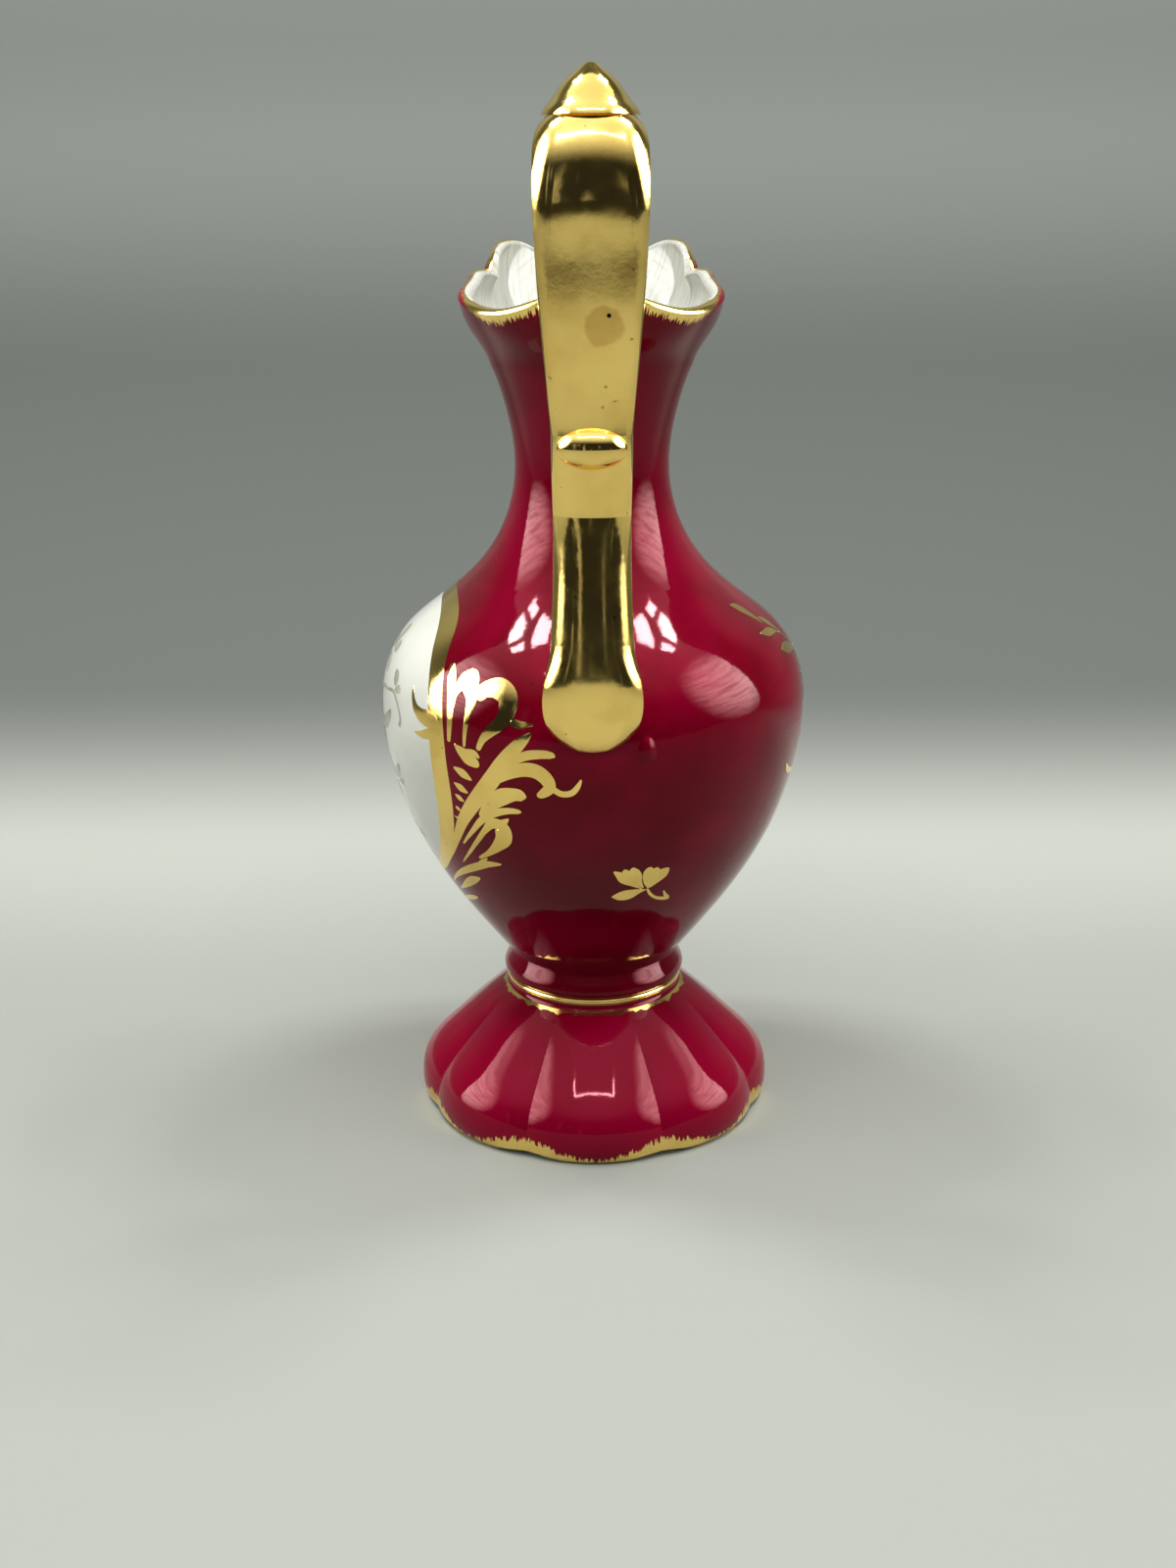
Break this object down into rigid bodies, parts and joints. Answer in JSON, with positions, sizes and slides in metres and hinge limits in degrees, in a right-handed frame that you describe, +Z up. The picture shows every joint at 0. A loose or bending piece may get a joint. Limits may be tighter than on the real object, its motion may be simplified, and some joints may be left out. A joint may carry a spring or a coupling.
{
  "type": "oinochoe jug",
  "caption": "Footed ewer with a lobed domed foot, egg-shaped body, waisted neck, scalloped pouring lip and a high looped gilt strap handle.",
  "frame": {"origin": "on the floor under the middle of the foot", "axes": "+Z up, +Y towards the pouring channel, the handle on the -Y side, +X to the right seen from the handle"},
  "size_m": [0.1054, 0.1149, 0.2537],
  "materials": {
    "crimson_glaze": "deep crimson glossy glaze, white glaze inside",
    "gold_lustre": "burnished bright gold lustre over glaze"
  },
  "bodies": {
    "root": {"foot": "crimson_glaze", "stem_collar": "crimson_glaze", "belly": "crimson_glaze", "shoulder": "crimson_glaze", "neck": "crimson_glaze", "lip": "crimson_glaze", "stem_ring": "gold_lustre", "handle_pad": "gold_lustre", "handle_lower_strap": "gold_lustre", "handle_knuckle": "gold_lustre", "handle_upper_strap": "gold_lustre", "handle_crest": "gold_lustre", "handle_root": "gold_lustre"}
  },
  "joints": []
}
